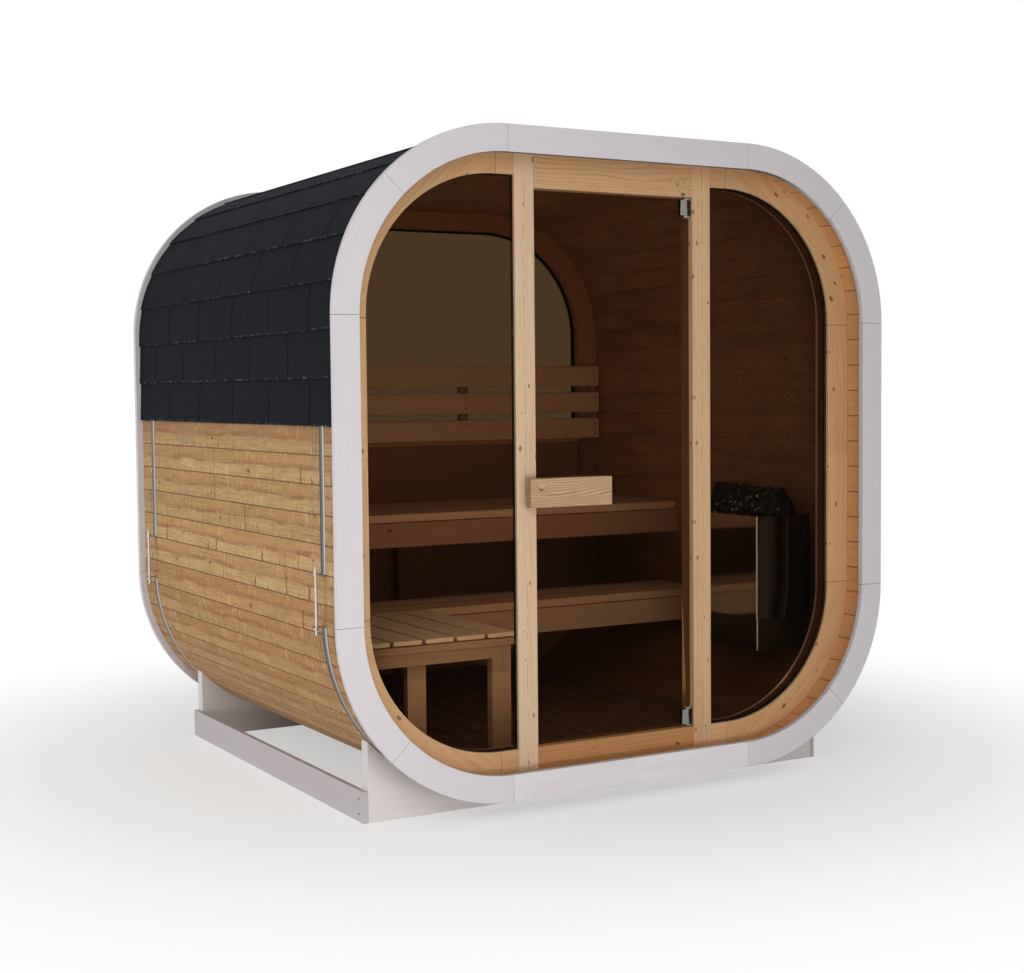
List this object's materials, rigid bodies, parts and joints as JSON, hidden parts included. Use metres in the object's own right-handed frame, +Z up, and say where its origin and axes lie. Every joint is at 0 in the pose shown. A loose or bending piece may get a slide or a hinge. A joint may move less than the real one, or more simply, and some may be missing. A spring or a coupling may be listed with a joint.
{
  "type": "outdoor sauna cabin",
  "caption": "Rounded square outdoor sauna cabin of horizontal boards on two cradles, with a glazed front wall, a hinged glass door, a shingle roof, benches and a stone heater.",
  "frame": {"origin": "middle of the footprint at ground level, under the cradles", "axes": "+Z up, the glazed front with the door faces -Y, +X to the right seen from the front"},
  "size_m": [2.13, 1.94, 2.15],
  "materials": {
    "white_timber": "off-white painted timber",
    "hull_boards": "oiled spruce boards",
    "post_wood": "planed spruce",
    "frame_wood": "planed spruce",
    "handle_wood": "planed spruce",
    "bench_wood": "smooth sauna wood",
    "bitumen_shingle": "granule coated bitumen",
    "bronze_glass": "bronze tinted toughened glass",
    "chromed_fittings": "polished",
    "band_steel": "weathered steel band",
    "heater_steel": "polished dark steel",
    "stone": "dark split stone"
  },
  "bodies": {
    "cabin": {"front_cradle": "white_timber", "rear_cradle": "white_timber", "side_skids": "white_timber", "left_wall": "hull_boards", "right_wall": "hull_boards", "ceiling": "hull_boards", "underside": "hull_boards", "lower_left_corner": "hull_boards", "lower_right_corner": "hull_boards", "upper_left_corner": "hull_boards", "upper_right_corner": "hull_boards", "roof_shingles": "bitumen_shingle", "front_trim": "white_timber", "rear_trim": "white_timber", "left_post": "post_wood", "right_post": "post_wood", "door_lintel": "post_wood", "door_threshold": "post_wood", "front_left_frame": "frame_wood", "front_right_frame": "frame_wood", "front_left_glass": "bronze_glass", "front_right_glass": "bronze_glass", "hinge_plates": "chromed_fittings", "rear_frame": "frame_wood", "rear_boards": "hull_boards", "rear_sill": "frame_wood", "rear_glass": "bronze_glass", "floor_slats": "bench_wood", "upper_bench_slats": "bench_wood", "upper_bench_frame": "bench_wood", "lower_bench_slats": "bench_wood", "lower_bench_frame": "bench_wood", "side_bench_slats": "bench_wood", "side_bench_frame": "bench_wood", "backrest_slats": "bench_wood", "backrest_battens": "bench_wood", "heater_housing": "heater_steel", "heater_stones": "stone", "heater_bracket": "heater_steel", "front_band": "band_steel", "rear_band": "band_steel", "band_tensioners": "chromed_fittings"},
    "door": {"door_glass": "bronze_glass", "door_handle": "handle_wood", "door_hinge_leaves": "chromed_fittings"}
  },
  "joints": [
    {"name": "door_hinge", "type": "hinge", "parent": "cabin", "child": "door", "pos_m": [0.29, -0.847, 1.1], "axis": [0, 0, 1], "range_deg": [0, 100]}
  ]
}
